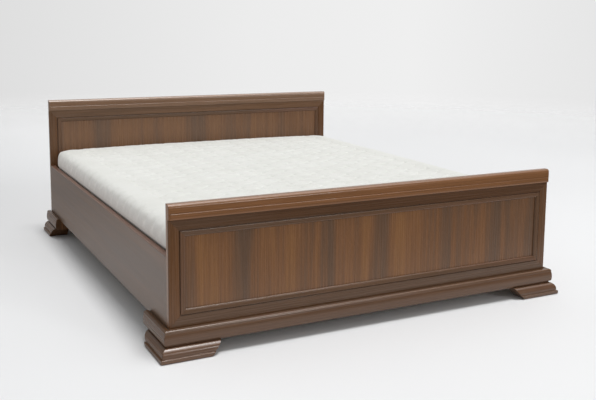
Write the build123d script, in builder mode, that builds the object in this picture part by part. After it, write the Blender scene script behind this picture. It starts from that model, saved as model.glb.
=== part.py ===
from build123d import *
import os

os.makedirs("parts", exist_ok=True)

# Double bed with a panelled footboard and headboard, and a quilted mattress. Millimetres, +Z up.
# The origin is on the floor under the middle of the bed. +Y runs to the headboard, and both boards
# show their moulded faces towards -Y. Left is -X, as seen from the foot of the bed.

# Mattress
mattress_width = 1600.0
mattress_length = 2000.0
mattress_thickness = 180.0
mattress_foot_gap = 4.0
mattress_head_gap = 15.0
mattress_corner_radius = 55.0
mattress_bulge = 11.0
mattress_end_bulge = 2.0
mattress_edge_round = 30.0
mattress_crown = 9.0
stitch_pitch = 115.0
stitch_side_margin = 110.0
stitch_wave = 94.0
stitch_sway = 21.0
stitch_end_margin = 75.0
channel_radius = 9.0
channel_depth = 3.5
cover_side_wall = 9.0
cover_top_wall = 24.0
cover_base_wall = 6.0
core_corner_radius = 40.0
core_edge_radius = 14.0
zip_height = 5.0
zip_proud = 1.5
zip_height_share = 0.53

# Boards
board_side_margin = 50.0
footboard_height = 548.0
headboard_height = 719.0
core_thickness = 16.0
strip_thickness = 6.0
frame_border = 40.0
apron_reveal = 39.0
stile_edge_radius = 4.0
strip_edge_radius = 1.2
bead_width = 23.0
bead_proud = 3.0
cap_height = 55.0
cap_overhang = 11.5
cap_corner_radius = 11.0
cap_dowel_radius = 4.0
cap_dowel_length = 36.0
cap_dowel_count = 5

# Plinth
plinth_height = 60.0
plinth_front_overhang = 28.0
plinth_side_overhang = 26.0
plinth_run = 225.0
corner_block_width = 50.0

# Feet
foot_height = 49.0
foot_front_overhang = 50.0
foot_side_overhang = 45.0
foot_run = 142.0
foot_slant = 42.0
glide_radius = 11.0
glide_thickness = 4.0
glide_projection = 1.0
glide_along_share = 0.6
foot_screw_radius = 2.5
foot_screw_length = 60.0
foot_screw_recess = 8.0
foot_screw_shares = (0.36, 0.8)
foot_screw_head_radius = 5.0
foot_screw_head_height = 3.0

# Side rails and ledgers
rail_thickness = 25.0
rail_bottom = 98.0
rail_top = 361.0
rail_edge_radius = 3.0
ledger_width = 30.0
ledger_height = 30.0
ledger_end_gap = 5.0
ledger_screw_radius = 2.0
ledger_screw_length = 42.0
ledger_screw_head_radius = 4.0
ledger_screw_head_height = 2.5
ledger_screw_count = 7

# Corner brackets
bracket_leg = 60.0
bracket_height = 90.0
bracket_thickness = 3.0
bracket_base = 115.0
bracket_screw_radius = 2.5
bracket_screw_length = 18.0
bracket_screw_head_radius = 5.0
bracket_screw_head_height = 3.0
board_bolt_radius = 3.0
board_bolt_length = 16.0
board_bolt_head_radius = 6.0
board_bolt_head_height = 4.0
insert_radius = 5.5
insert_length = 13.0
bolt_across_share = 0.62
bolt_up_shares = (0.25, 0.75)

# Slatted base
slat_width = 70.0
slat_thickness = 18.0
slat_count = 14
slat_edge_radius = 3.0
slat_end_gap = 4.0
slat_side_gap = 3.0
slat_middle_gap = 6.0
slat_underside = 260.0
tape_width = 22.0
tape_thickness = 1.5
tape_inset = 110.0

# Centre support
beam_width = 60.0
beam_height = 70.0
beam_edge_radius = 3.0
hanger_thickness = 2.5
hanger_depth = 35.0
hanger_height = 58.0
hanger_ear = 24.0
ear_screw_shares = (0.25, 0.75)
hanger_screw_radius = 2.0
hanger_screw_length = 14.0
hanger_screw_head_radius = 4.0
hanger_screw_head_height = 2.0
leg_radius = 22.0
leg_edge_radius = 2.0
leg_stud_radius = 4.0
leg_stud_length = 60.0
leg_spacing = 800.0
levelling_pad_radius = 20.0
levelling_pad_height = 7.0
levelling_pad_round = 2.5
levelling_collar_radius = 8.0
levelling_collar_height = 6.0
levelling_travel = 12.0
levelling_stud_radius = 4.0
levelling_stud_grip = 25.0
nut_sides = 6

# Clearances
seat_clearance = 0.3
hole_clearance = 0.1
thread_clearance = 0.1
cut_overrun = 5.0

# Worked-out places
board_thickness = core_thickness + strip_thickness
inner_length = mattress_length + mattress_foot_gap + mattress_head_gap
overall_length = foot_front_overhang + 2 * board_thickness + inner_length
board_width = mattress_width + 2 * board_side_margin
half_board = board_width / 2
half_inner = half_board - rail_thickness
foot_front = foot_front_overhang - overall_length / 2
foot_back = foot_front + board_thickness
head_front = foot_back + inner_length
head_back = head_front + board_thickness
plinth_top = foot_height + plinth_height
foot_base = glide_projection
slat_top = slat_underside + slat_thickness
beam_bottom = slat_underside - beam_height
mattress_base = slat_top + seat_clearance
mattress_top = mattress_base + mattress_thickness
mattress_middle = foot_back + mattress_foot_gap + mattress_length / 2
stitch_line_count = 2 * round((mattress_width / 2 - stitch_side_margin) / stitch_pitch) + 1
leg_bottom = levelling_pad_height + levelling_collar_height + levelling_travel + seat_clearance
foot_rise = foot_height - foot_base


class Board:
    """One of the two boards: its name, moulded face, height, lowest edge of its field, and the side that
    looks into the bed. into is +1 where +Y runs from that side into the board, and -1 where -Y does."""

    def __init__(self, name, front, height, field_base, into):
        self.name = name
        self.front = front
        self.height = height
        self.field_base = field_base
        self.into = into
        self.inner = front if into > 0 else front + board_thickness
        self.dowel_line = front + board_thickness - core_thickness / 2


boards = (
    Board("footboard", foot_front, footboard_height, plinth_top + apron_reveal, -1),
    Board("headboard", head_front, headboard_height, rail_top, 1),
)

# Moulding outlines, from the top inner corner to the bottom inner corner. Each move is a line to
# (out, up) or an arc through the first (out, up) to the second, in shares of overhang and height.
cap_moves_shares = (
    (-0.70, 1.00),
    (0.28, 0.92, 0.72, 0.68),
    (0.80, 0.43),
    (0.68, 0.39),
    (0.92, 0.377, 1.00, 0.335),
    (1.02, 0.25),
    (0.99, 0.09, 0.85, 0.02),
    (0.80, 0.00),
    (0.00, 0.00),
)
cap_reach_share = 1.04
plinth_quirk_share = 0.92
plinth_moves_shares = (
    (0.20, plinth_quirk_share),
    (0.24, 0.99),
    (0.56, 0.985),
    (0.79, 0.94, 0.88, 0.80),
    (0.90, 0.77),
    (1.00, 0.49, 0.94, 0.15),
    (0.89, 0.11),
    (0.68, 0.10),
    (0.64, 0.00),
    (0.00, 0.00),
)
foot_moves_shares = (
    (0.42, 1.00),
    (0.72, 0.82, 0.865, 0.36),
    (0.865, 0.30),
    (0.955, 0.30),
    (0.987, 0.285, 1.00, 0.25),
    (1.00, 0.04),
    (0.96, 0.00),
    (0.00, 0.00),
)
# Mattress outline from the base to the crown: (up, drawn in, swollen), in shares of the thickness,
# of the edge rounding and of the bulge.
mattress_levels_shares = (
    (0.00, 0.45, 0.0),
    (0.08, 0.06, 0.2),
    (0.25, 0.00, 0.75),
    (0.50, 0.00, 1.0),
    (0.75, 0.00, 0.7),
    (0.87, 0.10, 0.2),
    (0.94, 0.42, 0.0),
    (1.01, 1.25, 0.0),
)
# Bead outline across the strip, from the frame to the field: (across, forward) in shares of the
# bead's width and of how far it stands out from the field.
bead_moves_shares = (
    (0.00, 0.30),
    (0.13, 0.30),
    (0.13, 0.72),
    (0.17, 0.93, 0.28, 1.00),
    (0.70, 0.92),
    (0.90, 0.74, 1.00, 0.36),
    (1.00, 0.00),
)


def save(piece, label):
    """Label a finished piece and write it to its own file."""
    piece.part.label = label
    export_step(piece.part, "parts/" + label + ".step")


def block(low, high, mode=Mode.ADD):
    """Box between two opposite corners, in the part being built."""
    size = [b - a for a, b in zip(low, high)]
    with Locations(tuple((a + b) / 2 for a, b in zip(low, high))):
        Box(*size, mode=mode)


def trace(start, moves, place):
    """Lines and arcs through the moves, in the line being built. Returns the last point."""
    at = start
    for move in moves:
        points = [place(*move[i:i + 2]) for i in range(0, len(move), 2)]
        if len(points) == 1:
            Line(at, points[0])
        else:
            ThreePointArc(at, points[0], points[1])
        at = points[-1]
    return at


def rod(start, end, radius, mode=Mode.ADD):
    """Round rod between two points that differ along one axis, in the part being built."""
    span = Vector(*end) - Vector(*start)
    with BuildSketch(Plane(origin=start, z_dir=span)) as disc:
        Circle(radius)
    extrude(disc.sketch, amount=span.length, mode=mode)


def front_place(front, overhang, base, height):
    """Profile places, in (Y, Z), of a moulding on a board's front face."""
    return lambda out, up: (front - out * overhang, base + up * height)


def side_place(overhang, base, height):
    """Profile places, in (X, Z), of a moulding on the bed's left side."""
    return lambda out, up: (-half_board - out * overhang, base + up * height)


def mirrored(piece):
    """The same piece for the right-hand side."""
    with BuildPart() as right:
        mirror(piece.part, about=Plane.YZ)
    return right


def save_pair(piece, name):
    """Write the left piece and its mirror image, with the side in the name's braces."""
    save(piece, name.format("left"))
    save(mirrored(piece), name.format("right"))


def front_plane(y):
    """Upright plane at y whose normal points to the foot of the bed."""
    return Plane.XZ.offset(-y)


# Boards

def board_holes():
    """(x, z, radius, depth) of the holes that a board's fasteners need in its inner face."""
    holes = [(x, z, insert_radius + hole_clearance, insert_length) for x, z in bolt_places()]
    depth = hanger_screw_length - hanger_thickness
    return holes + [(x, z, hanger_screw_radius + hole_clearance, depth) for x, z in hanger_screw_places()]


def bolt_places():
    """(x, z) of the bolts that hold the corner brackets to a board."""
    x = half_inner - bracket_leg * bolt_across_share
    return [(side * x, bracket_base + up * bracket_height) for side in (-1, 1) for up in bolt_up_shares]


def hanger_screw_places():
    """(x, z) of the screws through the ears of a beam hanger."""
    x = beam_width / 2 + hanger_thickness + hanger_ear / 2
    low = beam_bottom - hanger_thickness
    return [(side * x, low + up * hanger_height) for side in (-1, 1) for up in ear_screw_shares]


def cut_board_holes(board):
    """Cut a board's fastener holes from its inner face into the part being built."""
    for x, z, radius, depth in board_holes():
        run_to = board.inner + board.into * depth
        rod((x, board.inner - board.into * cut_overrun, z), (x, run_to, z), radius, Mode.SUBTRACT)


def dowel_places():
    """X places of the dowels between a board and its cap."""
    spacing = board_width / cap_dowel_count
    return [(i + 0.5) * spacing - half_board for i in range(cap_dowel_count)]


def make_core(board):
    """Flat board behind the frame strips: its middle is the field inside the bead."""
    top = board.height - cap_height
    with BuildPart() as core:
        block(
            (-half_board, board.front + strip_thickness, foot_height),
            (half_board, board.front + board_thickness, top),
        )
        for x in dowel_places():
            with Locations((x, board.dowel_line, top)):
                Cylinder(cap_dowel_radius + hole_clearance, cap_dowel_length, mode=Mode.SUBTRACT)
        cut_board_holes(board)
    return core


def make_dowels(board):
    with BuildPart() as dowels:
        for x in dowel_places():
            with Locations((x, board.dowel_line, board.height - cap_height)):
                Cylinder(cap_dowel_radius, cap_dowel_length - 2 * seat_clearance)
    return dowels


def make_stile(board):
    """Left upright frame strip, mitred where it meets the rails."""
    top = board.height - cap_height
    outer = -half_board
    inner = outer + frame_border
    with BuildPart() as stile:
        with BuildSketch(front_plane(board.front)):
            Polygon(
                (outer, board.field_base - frame_border), (outer, top), (inner, top - frame_border),
                (inner, board.field_base), align=None,
            )
        extrude(amount=-strip_thickness)
        edges = stile.edges().filter_by(Axis.Z).group_by(Axis.Y)[0].sort_by(Axis.X)
        fillet(edges[0], stile_edge_radius)
        edges = stile.edges().filter_by(Axis.Z).group_by(Axis.Y)[0].sort_by(Axis.X)
        fillet(edges[-1], strip_edge_radius)
    return stile


def make_top_rail(board):
    """Top frame strip, mitred at both ends."""
    top = board.height - cap_height
    inner = half_board - frame_border
    with BuildPart() as rail:
        with BuildSketch(front_plane(board.front)):
            Polygon(
                (-half_board, top), (half_board, top), (inner, top - frame_border),
                (-inner, top - frame_border), align=None,
            )
        extrude(amount=-strip_thickness)
        edges = rail.edges().filter_by(Axis.X).group_by(Axis.Y)[0].sort_by(Axis.Z)
        fillet(edges[0], strip_edge_radius)
    return rail


def make_bottom_rail(board):
    """Bottom frame strip: a mitred border above an apron that runs down behind the plinth."""
    inner = half_board - frame_border
    shoulder = board.field_base - frame_border
    with BuildPart() as rail:
        with BuildSketch(front_plane(board.front)):
            Polygon(
                (-half_board, foot_height), (half_board, foot_height), (half_board, shoulder),
                (inner, board.field_base), (-inner, board.field_base), (-half_board, shoulder), align=None,
            )
        extrude(amount=-strip_thickness)
        edges = rail.edges().filter_by(Axis.X).group_by(Axis.Y)[0].sort_by(Axis.Z)
        fillet(edges[-1], strip_edge_radius)
        if board.into > 0:
            cut_board_holes(board)
    return rail


def bead_place(board, edge, inward):
    """Profile places of a bead strip that starts at edge and runs inward over the field."""
    field = board.front + strip_thickness
    depth = strip_thickness + bead_proud
    return lambda across, out: (edge + inward * across * bead_width, field - out * depth)


def make_bead_stiles(board):
    """Two upright bead strips with mitred ends."""
    outer = half_board - frame_border
    inner = outer - bead_width
    low = board.field_base
    high = board.height - cap_height - frame_border
    with BuildPart() as strips:
        for side in (-1, 1):
            place = bead_place(board, side * outer, -side)
            with BuildSketch(Plane.XY.offset(low)):
                with BuildLine():
                    last = trace(place(0, 0), bead_moves_shares, place)
                    Line(last, place(0, 0))
                make_face()
            extrude(amount=high - low)
        with BuildSketch(front_plane(board.front + strip_thickness)):
            for side in (-1, 1):
                Polygon(
                    (side * outer, low), (side * outer, high), (side * inner, high - bead_width),
                    (side * inner, low + bead_width), align=None,
                )
        extrude(amount=strip_thickness + bead_proud + cut_overrun, mode=Mode.INTERSECT)
    return strips


def make_bead_rails(board):
    """Top and bottom bead strips with mitred ends."""
    outer = half_board - frame_border
    inner = outer - bead_width
    high = board.height - cap_height - frame_border
    sides = ((board.field_base, 1), (high, -1))
    with BuildPart() as strips:
        for edge, inward in sides:
            upright_place = bead_place(board, edge, inward)
            place = lambda across, out: upright_place(across, out)[::-1]
            with BuildSketch(Plane.YZ.offset(-outer)):
                with BuildLine():
                    last = trace(place(0, 0), bead_moves_shares, place)
                    Line(last, place(0, 0))
                make_face()
            extrude(amount=2 * outer)
        with BuildSketch(front_plane(board.front + strip_thickness)):
            for edge, inward in sides:
                inner_edge = edge + inward * bead_width
                Polygon(
                    (-outer, edge), (outer, edge), (inner, inner_edge), (-inner, inner_edge), align=None,
                )
        extrude(amount=strip_thickness + bead_proud + cut_overrun, mode=Mode.INTERSECT)
    return strips


def make_cap(board):
    """Moulded cap that lies along the top of a board, with softly rounded front corners."""
    base = board.height - cap_height
    back = board.front + board_thickness
    nose = board.front - cap_reach_share * cap_overhang
    place = front_place(board.front, cap_overhang, base, cap_height)
    with BuildPart() as cap:
        with BuildSketch(Plane.YZ.offset(-half_board)):
            with BuildLine():
                last = trace((back, board.height), cap_moves_shares, place)
                Polyline(last, (back, base), (back, board.height))
            make_face()
        extrude(amount=board_width)
        with BuildSketch(Plane.XY.offset(base - cut_overrun)) as plan:
            with Locations((0, (back + nose) / 2)):
                Rectangle(board_width, back - nose)
            fillet(plan.vertices().group_by(Axis.Y)[0], cap_corner_radius)
        extrude(amount=cap_height + 2 * cut_overrun, mode=Mode.INTERSECT)
        for x in dowel_places():
            with Locations((x, board.dowel_line, base)):
                Cylinder(cap_dowel_radius + hole_clearance, cap_dowel_length, mode=Mode.SUBTRACT)
    return cap


def make_board(board):
    save(make_core(board), board.name + "_core_board")
    save_pair(make_stile(board), board.name + "_{}_stile")
    save(make_top_rail(board), board.name + "_top_rail")
    save(make_bottom_rail(board), board.name + "_bottom_rail")
    save(make_bead_stiles(board), board.name + "_bead_stiles")
    save(make_bead_rails(board), board.name + "_bead_rails")
    save(make_cap(board), board.name + "_cap")
    save(make_dowels(board), board.name + "_cap_dowels")


# Plinth

def make_plinth_front():
    """Moulding across the footboard, mitred at both ends."""
    place = front_place(foot_front, plinth_front_overhang, foot_height, plinth_height)
    outer = half_board + plinth_side_overhang
    nose = foot_front - plinth_front_overhang
    with BuildPart() as plinth:
        with BuildSketch(Plane.YZ.offset(-outer)):
            with BuildLine():
                last = trace(place(0, plinth_quirk_share), plinth_moves_shares, place)
                Line(last, place(0, plinth_quirk_share))
            make_face()
        extrude(amount=2 * outer)
        with BuildSketch(Plane.XY.offset(foot_height - cut_overrun)):
            Polygon(
                (-outer, nose), (outer, nose), (half_board, foot_front), (-half_board, foot_front),
                align=None,
            )
        extrude(amount=plinth_height + 2 * cut_overrun, mode=Mode.INTERSECT)
    return plinth


def make_plinth_return(board):
    """Left side moulding at a board's corner. At the footboard it is mitred to the front moulding."""
    place = side_place(plinth_side_overhang, foot_height, plinth_height)
    outer = -half_board - plinth_side_overhang
    end = board.front - board.into * plinth_run
    start = foot_front - plinth_front_overhang if board.into < 0 else head_back
    with BuildPart() as plinth:
        with BuildSketch(front_plane(start)):
            with BuildLine():
                last = trace(place(0, plinth_quirk_share), plinth_moves_shares, place)
                Line(last, place(0, plinth_quirk_share))
            make_face()
        extrude(amount=start - end)
        if board.into < 0:
            with BuildSketch(Plane.XY.offset(foot_height - cut_overrun)):
                Polygon(
                    (outer, start), (outer, end), (-half_board, end), (-half_board, foot_front), align=None,
                )
            extrude(amount=plinth_height + 2 * cut_overrun, mode=Mode.INTERSECT)
    return plinth


def foot_screw_places(board):
    """(x, y) of the screws up through a left foot into the corner block."""
    x = -half_board + corner_block_width / 2
    return [(x, board.front - board.into * along * foot_run) for along in foot_screw_shares]


def foot_screw_rods(board, spare):
    """Shank and head of each foot screw as (low point, high point, radius)."""
    shoulder = foot_base + foot_screw_recess
    rods = []
    for x, y in foot_screw_places(board):
        head_low = foot_base - cut_overrun if spare else shoulder - foot_screw_head_height
        rods.append(((x, y, head_low), (x, y, shoulder), foot_screw_head_radius + spare))
        rods.append(((x, y, shoulder), (x, y, shoulder + foot_screw_length), foot_screw_radius + spare))
    return rods


def make_corner_block(board):
    """Left block under the side rail that carries the plinth return and the foot."""
    far = board.front - board.into * plinth_run
    with BuildPart() as piece:
        block(
            (-half_board, min(board.inner, far), foot_height),
            (-half_board + corner_block_width, max(board.inner, far), rail_bottom),
        )
        for low, high, radius in foot_screw_rods(board, hole_clearance):
            rod(low, high, radius, Mode.SUBTRACT)
    return piece


def make_foot_screws():
    """Screws of all four side feet."""
    with BuildPart() as screws:
        for board in boards:
            for low, high, radius in foot_screw_rods(board, 0):
                for side in (-1, 1):
                    rod((side * low[0],) + low[1:], (side * high[0],) + high[1:], radius)
    return screws


# Feet

def glide_places():
    """(x, y) of the glides under the left feet: one in each foot piece."""
    side_x = -half_board - foot_side_overhang / 2
    places = [(-half_board + foot_run * glide_along_share, foot_front)]
    for board in boards:
        places.append((side_x, board.front - board.into * foot_run * glide_along_share))
    return places


def cut_glides():
    """Cut the glide seats from the undersides of the left foot piece being built."""
    for x, y in glide_places():
        top = foot_base - glide_projection + glide_thickness
        rod((x, y, -cut_overrun), (x, y, top), glide_radius + hole_clearance, Mode.SUBTRACT)


def make_glides():
    """Flat glides let into the feet, standing a little proud of them."""
    with BuildPart() as glides:
        for x, y in glide_places():
            for side in (-1, 1):
                rod((side * x, y, 0), (side * x, y, glide_thickness), glide_radius)
    return glides


def mitre_inner():
    """X of the inner end of the mitre between the two pieces of the left front foot."""
    return -half_board + board_thickness * foot_side_overhang / foot_front_overhang


def make_foot_front():
    """Left front foot piece, mitred to the side piece, with a slanted inner end."""
    place = front_place(foot_front, foot_front_overhang, foot_base, foot_rise)
    outer = -half_board - foot_side_overhang
    nose = foot_front - foot_front_overhang
    end = -half_board + foot_run
    tip = end + foot_slant
    with BuildPart() as foot:
        with BuildSketch(Plane.YZ.offset(outer)):
            with BuildLine():
                last = trace((foot_back, foot_height), foot_moves_shares, place)
                Polyline(last, (foot_back, foot_base), (foot_back, foot_height))
            make_face()
        extrude(amount=tip - outer)
        with BuildSketch(Plane.XY.offset(foot_base - cut_overrun)):
            Polygon((outer, nose), (tip, nose), (tip, foot_back), (mitre_inner(), foot_back), align=None)
        extrude(amount=foot_rise + 2 * cut_overrun, mode=Mode.INTERSECT)
        with BuildSketch(front_plane(foot_back + cut_overrun)):
            Polygon(
                (outer, foot_base), (end, foot_base), (tip, foot_height), (outer, foot_height), align=None,
            )
        extrude(amount=foot_back - nose + 2 * cut_overrun, mode=Mode.INTERSECT)
        cut_glides()
    return foot


def make_foot_side(board):
    """Left side foot piece with a slanted inner end, mitred to the front piece at the footboard."""
    place = side_place(foot_side_overhang, foot_base, foot_rise)
    inner = -half_board + corner_block_width
    outer = -half_board - foot_side_overhang
    start = foot_front - foot_front_overhang if board.into < 0 else head_back
    end = board.front - board.into * foot_run
    tip = end - board.into * foot_slant
    with BuildPart() as foot:
        with BuildSketch(front_plane(start)):
            with BuildLine():
                last = trace((inner, foot_height), foot_moves_shares, place)
                Polyline(last, (inner, foot_base), (inner, foot_height))
            make_face()
        extrude(amount=start - tip)
        with BuildSketch(Plane.YZ.offset(outer - cut_overrun)):
            Polygon(
                (start, foot_base), (end, foot_base), (tip, foot_height), (start, foot_height), align=None,
            )
        extrude(amount=inner - outer + 2 * cut_overrun, mode=Mode.INTERSECT)
        if board.into < 0:
            with BuildSketch(Plane.XY.offset(foot_base - cut_overrun)):
                Polygon(
                    (outer, start), (outer, tip), (inner, tip), (inner, foot_back),
                    (mitre_inner(), foot_back), align=None,
                )
            extrude(amount=foot_rise + 2 * cut_overrun, mode=Mode.INTERSECT)
        cut_glides()
        for low, high, radius in foot_screw_rods(board, hole_clearance):
            rod(low, high, radius, Mode.SUBTRACT)
    return foot


# Side rails

def ledger_screw_places():
    """Y places of the screws along a ledger."""
    run = inner_length - 2 * ledger_end_gap
    spacing = run / ledger_screw_count
    return [foot_back + ledger_end_gap + (i + 0.5) * spacing for i in range(ledger_screw_count)]


def ledger_screw_rods(spare):
    """Left ledger screws as (inner end, outer end, radius); a spare widens them into holes."""
    face = -half_inner + ledger_width
    z = slat_underside - ledger_height / 2
    return [
        ((face, y, z), (face - ledger_screw_length, y, z), ledger_screw_radius + spare)
        for y in ledger_screw_places()
    ]


def bracket_screw_rods(spare):
    """Left screws through the corner brackets into the side rail."""
    face = -half_inner + bracket_thickness
    rods = []
    for board in boards:
        y = board.inner - board.into * bracket_leg * bolt_across_share
        for up in bolt_up_shares:
            z = bracket_base + up * bracket_height
            rods.append(((face, y, z), (face - bracket_screw_length, y, z), bracket_screw_radius + spare))
    return rods


def make_side_rail():
    """Left side rail, flush with the ends of the boards, with softened top edges."""
    with BuildPart() as rail:
        block((-half_board, foot_back, rail_bottom), (-half_inner, head_front, rail_top))
        fillet(rail.edges().filter_by(Axis.Y).group_by(Axis.Z)[-1], rail_edge_radius)
        for start, end, radius in ledger_screw_rods(hole_clearance) + bracket_screw_rods(hole_clearance):
            rod(start, end, radius, Mode.SUBTRACT)
    return rail


def make_ledger():
    """Left batten along the side rail that carries the outer ends of the slats."""
    with BuildPart() as ledger:
        block(
            (-half_inner, foot_back + ledger_end_gap, slat_underside - ledger_height),
            (-half_inner + ledger_width, head_front - ledger_end_gap, slat_underside),
        )
        for start, end, radius in ledger_screw_rods(hole_clearance):
            rod(start, end, radius, Mode.SUBTRACT)
    return ledger


def screws_on_rails(rods, head_radius, head_height):
    """Screws of both side rails: shanks along X and flat heads on their inner ends."""
    with BuildPart() as screws:
        for start, end, radius in rods:
            head_end = (start[0] + head_height,) + start[1:]
            for side in (1, -1):
                rod((side * start[0],) + start[1:], (side * end[0],) + end[1:], radius)
                rod((side * start[0],) + start[1:], (side * head_end[0],) + head_end[1:], head_radius)
    return screws


# Corner brackets

def make_corner_brackets():
    """Four steel angles that join the side rails to the boards."""
    with BuildPart() as brackets:
        for board in boards:
            for side in (-1, 1):
                rail_face = side * half_inner
                with BuildSketch(Plane.XY.offset(bracket_base)):
                    Polygon(
                        (rail_face, board.inner),
                        (rail_face, board.inner - board.into * bracket_leg),
                        (rail_face - side * bracket_thickness, board.inner - board.into * bracket_leg),
                        (rail_face - side * bracket_thickness, board.inner - board.into * bracket_thickness),
                        (rail_face - side * bracket_leg, board.inner - board.into * bracket_thickness),
                        (rail_face - side * bracket_leg, board.inner),
                        align=None,
                    )
                extrude(amount=bracket_height)
        for start, end, radius in bracket_screw_rods(hole_clearance):
            for side in (1, -1):
                rod((side * start[0],) + start[1:], (side * end[0],) + end[1:], radius, Mode.SUBTRACT)
        for board in boards:
            for x, z in bolt_places():
                near = board.inner - board.into * (bracket_thickness + cut_overrun)
                radius = board_bolt_radius + hole_clearance
                rod((x, near, z), (x, board.inner, z), radius, Mode.SUBTRACT)
    return brackets


def make_board_bolts():
    """Bolts through the corner brackets into the threaded inserts of the boards."""
    with BuildPart() as bolts:
        for board in boards:
            face = board.inner - board.into * bracket_thickness
            for x, z in bolt_places():
                rod((x, face, z), (x, face + board.into * board_bolt_length, z), board_bolt_radius)
                rod((x, face, z), (x, face - board.into * board_bolt_head_height, z), board_bolt_head_radius)
    return bolts


def make_inserts():
    """Threaded inserts sunk in the boards."""
    with BuildPart() as inserts:
        for board in boards:
            for x, z in bolt_places():
                end = board.inner + board.into * insert_length
                rod((x, board.inner, z), (x, end, z), insert_radius)
                rod((x, board.inner, z), (x, end, z), board_bolt_radius + thread_clearance, Mode.SUBTRACT)
    return inserts


# Slatted base

def slat_places():
    """Y places of the slats."""
    first = foot_back + slat_end_gap + slat_width / 2
    last = head_front - slat_end_gap - slat_width / 2
    return [first + (last - first) * i / (slat_count - 1) for i in range(slat_count)]


def make_slats():
    """Left slats, with rounded edges, between the ledger and the middle beam."""
    with BuildPart() as slats:
        with BuildSketch(Plane.YZ.offset(-half_inner + slat_side_gap)):
            with Locations([(y, slat_underside + slat_thickness / 2) for y in slat_places()]):
                RectangleRounded(slat_width, slat_thickness, slat_edge_radius)
        extrude(amount=half_inner - slat_side_gap - slat_middle_gap / 2)
    return slats


def make_tapes():
    """Webbing tapes under the slats, two on each side, which keep the slats apart."""
    ends = (foot_back + slat_end_gap, head_front - slat_end_gap)
    outer = half_inner - tape_inset
    with BuildPart() as tapes:
        for x in (-outer, -tape_inset, tape_inset, outer):
            block(
                (x - tape_width / 2, ends[0], slat_underside - tape_thickness),
                (x + tape_width / 2, ends[1], slat_underside),
            )
    return tapes


# Centre support

def leg_places():
    """Y places of the legs under the middle beam."""
    middle = (foot_back + head_front) / 2
    return [middle - leg_spacing / 2, middle + leg_spacing / 2]


def make_beam():
    """Beam along the middle of the bed that carries the inner ends of the slats."""
    gap = hanger_thickness + seat_clearance
    with BuildPart() as beam:
        block(
            (-beam_width / 2, foot_back + gap, beam_bottom),
            (beam_width / 2, head_front - gap, slat_underside),
        )
        fillet(beam.edges().filter_by(Axis.Y), beam_edge_radius)
        bore_top = beam_bottom + leg_stud_length / 2 + seat_clearance
        for y in leg_places():
            rod(
                (0, y, beam_bottom - cut_overrun), (0, y, bore_top),
                leg_stud_radius + thread_clearance, Mode.SUBTRACT,
            )
    return beam


def make_hangers():
    """Two steel shoes with ears, one on each board, that hold the ends of the beam."""
    half_slot = beam_width / 2 + seat_clearance
    half_shoe = half_slot + hanger_thickness
    low = beam_bottom - hanger_thickness
    high = low + hanger_height
    with BuildPart() as hangers:
        for board in boards:
            plate = board.inner - board.into * hanger_thickness
            lip = board.inner - board.into * hanger_depth
            block((-half_shoe, min(board.inner, lip), low), (half_shoe, max(board.inner, lip), high))
            block(
                (-half_slot, min(plate, lip - board.into * cut_overrun), beam_bottom),
                (half_slot, max(plate, lip - board.into * cut_overrun), high + cut_overrun), Mode.SUBTRACT,
            )
            half_plate = half_shoe + hanger_ear
            block((-half_plate, min(board.inner, plate), low), (half_plate, max(board.inner, plate), high))
            for x, z in hanger_screw_places():
                near = plate - board.into * cut_overrun
                rod((x, near, z), (x, board.inner, z), hanger_screw_radius + hole_clearance, Mode.SUBTRACT)
    return hangers


def make_hanger_screws():
    with BuildPart() as screws:
        for board in boards:
            face = board.inner - board.into * hanger_thickness
            for x, z in hanger_screw_places():
                rod((x, face, z), (x, face + board.into * hanger_screw_length, z), hanger_screw_radius)
                head_end = face - board.into * hanger_screw_head_height
                rod((x, face, z), (x, head_end, z), hanger_screw_head_radius)
    return screws


def make_leg(y):
    """Round leg under the beam, bored for the stud above and the levelling foot below."""
    with BuildPart() as leg:
        rod((0, y, leg_bottom), (0, y, beam_bottom), leg_radius)
        fillet(leg.edges().filter_by(GeomType.CIRCLE), leg_edge_radius)
        rod(
            (0, y, beam_bottom - leg_stud_length / 2 - seat_clearance), (0, y, beam_bottom + cut_overrun),
            leg_stud_radius + thread_clearance, Mode.SUBTRACT,
        )
        bore_top = leg_bottom + levelling_stud_grip + levelling_travel + leg_edge_radius
        rod(
            (0, y, leg_bottom - cut_overrun), (0, y, bore_top),
            levelling_stud_radius + seat_clearance, Mode.SUBTRACT,
        )
    return leg


def make_leg_studs():
    """Studs that hold the legs to the beam."""
    with BuildPart() as studs:
        for y in leg_places():
            low = beam_bottom - leg_stud_length / 2
            rod((0, y, low), (0, y, low + leg_stud_length), leg_stud_radius)
    return studs


def make_levelling_foot(y):
    """Screw-in foot of a centre leg: pad, collar and stud. It screws up until the collar meets the leg."""
    collar_top = levelling_pad_height + levelling_collar_height
    with BuildPart() as foot:
        rod((0, y, 0), (0, y, levelling_pad_height), levelling_pad_radius)
        fillet(foot.edges().filter_by(GeomType.CIRCLE).group_by(Axis.Z)[-1], levelling_pad_round)
        with BuildSketch(Plane.XY.offset(levelling_pad_height)):
            with Locations((0, y)):
                RegularPolygon(levelling_collar_radius, nut_sides)
        extrude(amount=levelling_collar_height)
        rod((0, y, collar_top), (0, y, leg_bottom + levelling_stud_grip), levelling_stud_radius)
    return foot


# Mattress

def mattress_plane(z):
    """Level plane at a height, centred on the mattress."""
    return Plane((0, mattress_middle, z))


def rounded_slab(z, inset, end_inset):
    """Sketch of the mattress outline at a height, drawn in by an inset at the sides and at the ends."""
    with BuildSketch(mattress_plane(z)) as level:
        RectangleRounded(
            mattress_width - 2 * inset, mattress_length - 2 * end_inset, mattress_corner_radius - inset / 2,
        )
    return level.sketch


def crown_height(x):
    """Height of the mattress top at x, which falls from the middle to the long sides."""
    return mattress_top - mattress_crown * (2 * x / mattress_width) ** 2


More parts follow.
